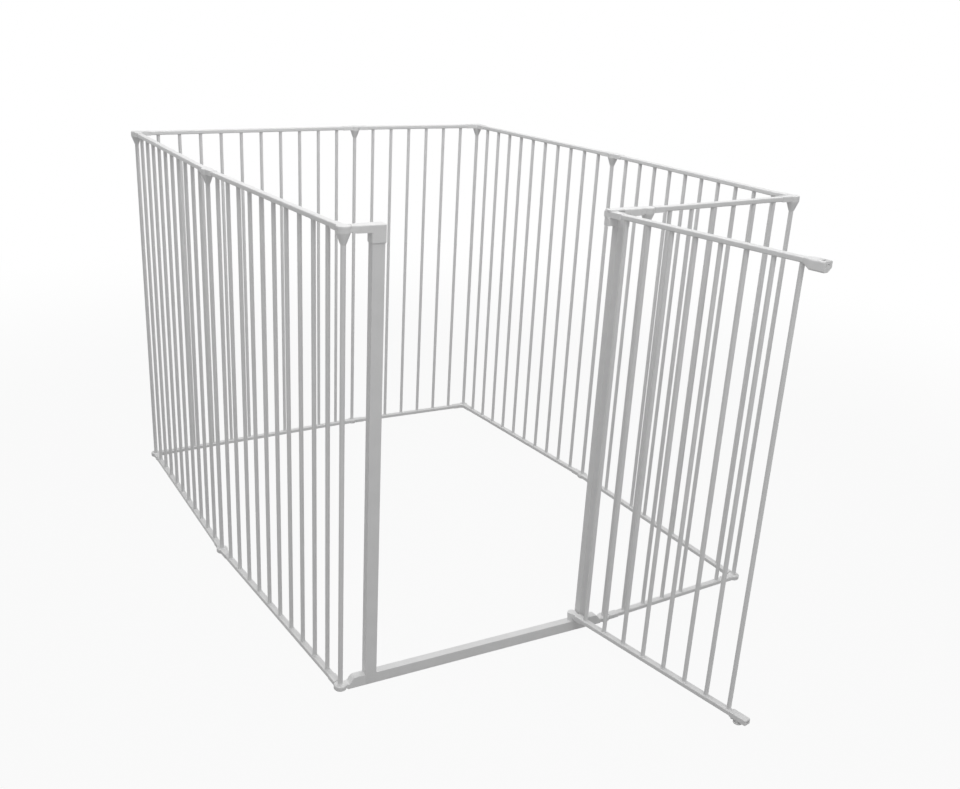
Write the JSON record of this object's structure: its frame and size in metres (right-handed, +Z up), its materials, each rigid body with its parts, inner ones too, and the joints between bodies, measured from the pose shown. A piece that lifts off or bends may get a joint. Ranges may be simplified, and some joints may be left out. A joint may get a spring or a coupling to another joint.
{
  "type": "folding pet pen with gate",
  "caption": "Free-standing folding pet pen of hinged white barred panels, with a swinging gate standing open in the front panel",
  "frame": {"origin": "middle of the doorway on the floor, centre of the threshold's underside", "axes": "X along the panel that holds the gate, from the latch post to the hinge post; Y into the pen; Z up"},
  "size_m": [1.2891, 2.0118, 1.055],
  "materials": {
    "coated_steel": "white powder coat, satin",
    "white_plastic": "white moulded plastic",
    "spring_steel": "bare spring steel"
  },
  "bodies": {
    "door_frame": {"latch_post": "coated_steel", "hinge_post": "coated_steel", "threshold": "coated_steel", "latch_post_cap": "white_plastic", "hinge_post_cap": "white_plastic", "latch_side_foot": "white_plastic", "hinge_side_foot": "white_plastic", "pivot_bush": "white_plastic", "hinge_rod_front_left": "coated_steel"},
    "door": {"door_top_rail": "coated_steel", "door_bottom_rail": "coated_steel", "door_bars": "coated_steel", "door_hinge_head": "white_plastic", "door_hinge_shoe": "white_plastic", "door_end_foot": "white_plastic", "latch_housing": "white_plastic", "latch_spring": "spring_steel"},
    "latch": {"latch_slider": "white_plastic"},
    "left_front_panel": {"left_front_top_rail": "coated_steel", "left_front_bottom_rail": "coated_steel", "left_front_bars": "coated_steel", "left_front_upper_fittings": "white_plastic", "left_front_lower_fittings": "white_plastic", "hinge_rod_left_middle": "coated_steel"},
    "left_back_panel": {"left_back_top_rail": "coated_steel", "left_back_bottom_rail": "coated_steel", "left_back_bars": "coated_steel", "left_back_upper_fittings": "white_plastic", "left_back_lower_fittings": "white_plastic", "hinge_rod_back_left": "coated_steel"},
    "front_short_panel": {"front_short_top_rail": "coated_steel", "front_short_bottom_rail": "coated_steel", "front_short_bars": "coated_steel", "front_short_upper_fittings": "white_plastic", "front_short_lower_fittings": "white_plastic", "hinge_rod_door_side": "coated_steel"},
    "right_front_panel": {"right_front_top_rail": "coated_steel", "right_front_bottom_rail": "coated_steel", "right_front_bars": "coated_steel", "right_front_upper_fittings": "white_plastic", "right_front_lower_fittings": "white_plastic", "hinge_rod_front_right": "coated_steel"},
    "right_back_panel": {"right_back_top_rail": "coated_steel", "right_back_bottom_rail": "coated_steel", "right_back_bars": "coated_steel", "right_back_upper_fittings": "white_plastic", "right_back_lower_fittings": "white_plastic", "hinge_rod_right_middle": "coated_steel"},
    "back_short_panel": {"back_short_top_rail": "coated_steel", "back_short_bottom_rail": "coated_steel", "back_short_bars": "coated_steel", "back_short_upper_fittings": "white_plastic", "back_short_lower_fittings": "white_plastic", "hinge_rod_back_right": "coated_steel"},
    "back_long_panel": {"back_long_top_rail": "coated_steel", "back_long_bottom_rail": "coated_steel", "back_long_bars": "coated_steel", "back_long_upper_fittings": "white_plastic", "back_long_lower_fittings": "white_plastic", "hinge_rod_back_middle": "coated_steel"}
  },
  "joints": [
    {"name": "side_fold", "type": "hinge", "parent": "front_short_panel", "child": "right_front_panel", "pos_m": [0.81712, 0.03116, 0.525], "axis": [0, 0, -1], "range_deg": [-7, 51]},
    {"name": "right_middle_fold", "type": "hinge", "parent": "right_front_panel", "child": "right_back_panel", "pos_m": [0.80058, 0.75097, 0.525], "axis": [0, 0, 1], "range_deg": [-12.48, 90.89]},
    {"name": "back_right_fold", "type": "hinge", "parent": "right_back_panel", "child": "back_short_panel", "pos_m": [0.73512, 1.46799, 0.525], "axis": [0, 0, -1], "range_deg": [-7, 51]},
    {"name": "back_middle_fold", "type": "hinge", "parent": "back_short_panel", "child": "back_long_panel", "pos_m": [0.27699, 1.47492, 0.525], "axis": [0, 0, 1], "range_deg": [-1.25, 9.09]},
    {"name": "door_side_fold", "type": "hinge", "parent": "door_frame", "child": "front_short_panel", "pos_m": [0.36, 0, 0.525], "axis": [0, 0, 1], "range_deg": [-1.25, 9.09]},
    {"name": "front_left_fold", "type": "hinge", "parent": "door_frame", "child": "left_front_panel", "pos_m": [-0.36, 0, 0.525], "axis": [0, 0, 1], "range_deg": [-6.72, 48.98]},
    {"name": "left_middle_fold", "type": "hinge", "parent": "left_front_panel", "child": "left_back_panel", "pos_m": [-0.42546, 0.71702, 0.525], "axis": [0, 0, -1], "range_deg": [-12.48, 90.89]},
    {"name": "door_swing", "type": "hinge", "parent": "door_frame", "child": "door", "pos_m": [0.261, 0, 0.525], "axis": [0, 0, 1], "range_deg": [-102, 12]},
    {"name": "latch_slide", "type": "slide", "parent": "door", "child": "latch", "axis": [0.2079, -0.9781, 0], "range_m": [0, 0.01]}
  ],
  "couplings": [
    {"joint": "right_middle_fold", "follows": "side_fold", "ratio": 1.7822},
    {"joint": "back_right_fold", "follows": "side_fold", "ratio": 1},
    {"joint": "front_left_fold", "follows": "side_fold", "ratio": 0.9604},
    {"joint": "left_middle_fold", "follows": "side_fold", "ratio": 1.7822},
    {"joint": "door_side_fold", "follows": "side_fold", "ratio": 0.17822},
    {"joint": "back_middle_fold", "follows": "side_fold", "ratio": 0.17822}
  ]
}
